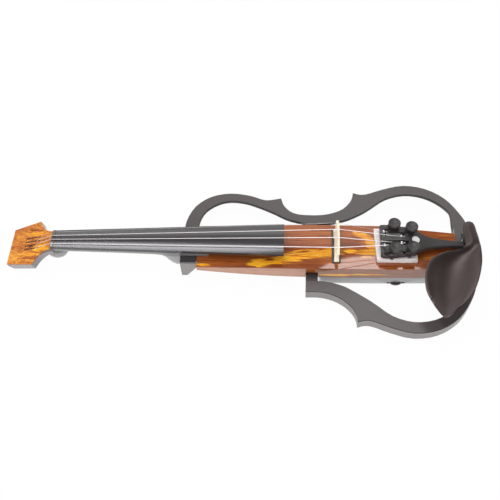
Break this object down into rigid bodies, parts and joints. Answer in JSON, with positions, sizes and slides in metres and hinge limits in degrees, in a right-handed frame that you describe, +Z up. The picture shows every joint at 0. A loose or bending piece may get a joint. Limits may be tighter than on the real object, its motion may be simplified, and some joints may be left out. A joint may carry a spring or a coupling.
{
  "type": "electric violin",
  "caption": "Electric violin: slab body with open side frames, clamped chinrest, ebony fingerboard, maple bridge and a tailpiece with lever fine tuners.",
  "frame": {"origin": "under the middle of the instrument's outline, on the surface it lies on with its back down", "axes": "+X from the head to the tail, +Y to the treble side, +Z up out of the top"},
  "size_m": [0.5532, 0.2064, 0.0596],
  "materials": {
    "figured_veneer": "high gloss clear lacquer over figured veneer",
    "core_wood": "gloss clear lacquer",
    "frame_lacquer": "satin dark warm grey lacquer on wood",
    "black_gloss": "gloss black moulding",
    "black_lacquer": "gloss black lacquer on wood",
    "ebony": "satin, oiled black",
    "black_composite": "satin black moulding",
    "chinrest_wood": "satin dark brown-black",
    "maple": "bare, fine",
    "bright_steel": "bright",
    "foam": "soft open foam",
    "circuit": "green board with dark parts",
    "cell": "plain printed sleeve",
    "disc_metal": "satin"
  },
  "bodies": {
    "violin": {"body_core": "core_wood", "top_plate": "figured_veneer", "lower_housing": "black_gloss", "housing_screw_front_bass": "bright_steel", "housing_screw_front_treble": "bright_steel", "housing_screw_rear_bass": "bright_steel", "housing_screw_rear_treble": "bright_steel", "battery": "cell", "circuit_board": "circuit", "volume_pot": "bright_steel", "output_jack": "bright_steel", "phones_jack": "bright_steel", "pickup_bar": "black_composite", "pickup_lead": "black_composite", "bridge": "maple", "fingerboard": "ebony", "neck": "black_lacquer", "head_veneer": "figured_veneer", "nut": "ebony", "heel_block": "black_lacquer", "neck_bolt_bass": "bright_steel", "neck_bolt_treble": "bright_steel", "frame_treble": "frame_lacquer", "frame_bass": "frame_lacquer", "bracket_treble": "black_composite", "bracket_bass": "black_composite", "tail_block": "frame_lacquer", "saddle": "ebony", "end_button": "ebony", "tailgut": "black_composite", "tailpiece": "black_composite", "tailpiece_disc": "disc_metal", "foam_pad": "foam", "pivot_pin_front": "bright_steel", "pivot_pin_rear": "bright_steel", "chinrest_cup": "chinrest_wood", "chinrest_post_bass": "bright_steel", "chinrest_post_treble": "bright_steel", "chinrest_bracket": "bright_steel", "string_g": "bright_steel", "string_d": "bright_steel", "string_a": "bright_steel", "string_e": "bright_steel"},
    "battery_door": {"battery_door": "black_gloss"},
    "volume_wheel": {"volume_wheel": "black_composite"},
    "tip_g": {"tuner_tip_g": "bright_steel"},
    "knob_g": {"tuner_knob_g": "black_composite"},
    "lever_g": {"tuner_lever_g": "bright_steel"},
    "tip_d": {"tuner_tip_d": "bright_steel"},
    "knob_d": {"tuner_knob_d": "black_composite"},
    "lever_d": {"tuner_lever_d": "bright_steel"},
    "tip_a": {"tuner_tip_a": "bright_steel"},
    "knob_a": {"tuner_knob_a": "black_composite"},
    "lever_a": {"tuner_lever_a": "bright_steel"},
    "tip_e": {"tuner_tip_e": "bright_steel"},
    "knob_e": {"tuner_knob_e": "black_composite"},
    "lever_e": {"tuner_lever_e": "bright_steel"}
  },
  "joints": [
    {"name": "battery_door_hinge", "type": "hinge", "parent": "violin", "child": "battery_door", "pos_m": [0.10064, 0, 0.0013], "axis": [0, 1, 0], "range_deg": [0, 100]},
    {"name": "volume_wheel_turn", "type": "hinge", "parent": "violin", "child": "volume_wheel", "pos_m": [0.17974, -0.0223, 0.00245], "axis": [0, 0, 1], "range_deg": [0, 300]},
    {"name": "tuner_travel_g", "type": "slide", "parent": "violin", "child": "tip_g", "axis": [0, 0, 1], "range_m": [-0.001, 0.001]},
    {"name": "tuner_turn_g", "type": "hinge", "parent": "tip_g", "child": "knob_g", "pos_m": [0.17535, -0.0157, 0.0525], "axis": [0, 0, 1], "range_deg": [-720, 720]},
    {"name": "tuner_lever_g", "type": "hinge", "parent": "violin", "child": "lever_g", "pos_m": [0.16535, -0.0157, 0.0434], "axis": [0, 1, 0], "range_deg": [-5.73, 5.73]},
    {"name": "tuner_travel_d", "type": "slide", "parent": "violin", "child": "tip_d", "axis": [0, 0, 1], "range_m": [-0.001, 0.001]},
    {"name": "tuner_turn_d", "type": "hinge", "parent": "tip_d", "child": "knob_d", "pos_m": [0.19505, -0.0129, 0.0525], "axis": [0, 0, 1], "range_deg": [-720, 720]},
    {"name": "tuner_lever_d", "type": "hinge", "parent": "violin", "child": "lever_d", "pos_m": [0.18505, -0.0129, 0.0431], "axis": [0, 1, 0], "range_deg": [-5.73, 5.73]},
    {"name": "tuner_travel_a", "type": "slide", "parent": "violin", "child": "tip_a", "axis": [0, 0, 1], "range_m": [-0.001, 0.001]},
    {"name": "tuner_turn_a", "type": "hinge", "parent": "tip_a", "child": "knob_a", "pos_m": [0.19505, 0.0145, 0.0525], "axis": [0, 0, 1], "range_deg": [-720, 720]},
    {"name": "tuner_lever_a", "type": "hinge", "parent": "violin", "child": "lever_a", "pos_m": [0.18505, 0.0145, 0.0431], "axis": [0, 1, 0], "range_deg": [-5.73, 5.73]},
    {"name": "tuner_travel_e", "type": "slide", "parent": "violin", "child": "tip_e", "axis": [0, 0, 1], "range_m": [-0.001, 0.001]},
    {"name": "tuner_turn_e", "type": "hinge", "parent": "tip_e", "child": "knob_e", "pos_m": [0.17535, 0.0173, 0.0525], "axis": [0, 0, 1], "range_deg": [-720, 720]},
    {"name": "tuner_lever_e", "type": "hinge", "parent": "violin", "child": "lever_e", "pos_m": [0.16535, 0.0173, 0.0434], "axis": [0, 1, 0], "range_deg": [-5.73, 5.73]}
  ],
  "couplings": [
    {"joint": "tuner_turn_g", "follows": "tuner_travel_g", "rad_per_m": 12566},
    {"joint": "tuner_lever_g", "follows": "tuner_travel_g", "rad_per_m": -100},
    {"joint": "tuner_turn_d", "follows": "tuner_travel_d", "rad_per_m": 12566},
    {"joint": "tuner_lever_d", "follows": "tuner_travel_d", "rad_per_m": -100},
    {"joint": "tuner_turn_a", "follows": "tuner_travel_a", "rad_per_m": 12566},
    {"joint": "tuner_lever_a", "follows": "tuner_travel_a", "rad_per_m": -100},
    {"joint": "tuner_turn_e", "follows": "tuner_travel_e", "rad_per_m": 12566},
    {"joint": "tuner_lever_e", "follows": "tuner_travel_e", "rad_per_m": -100}
  ]
}
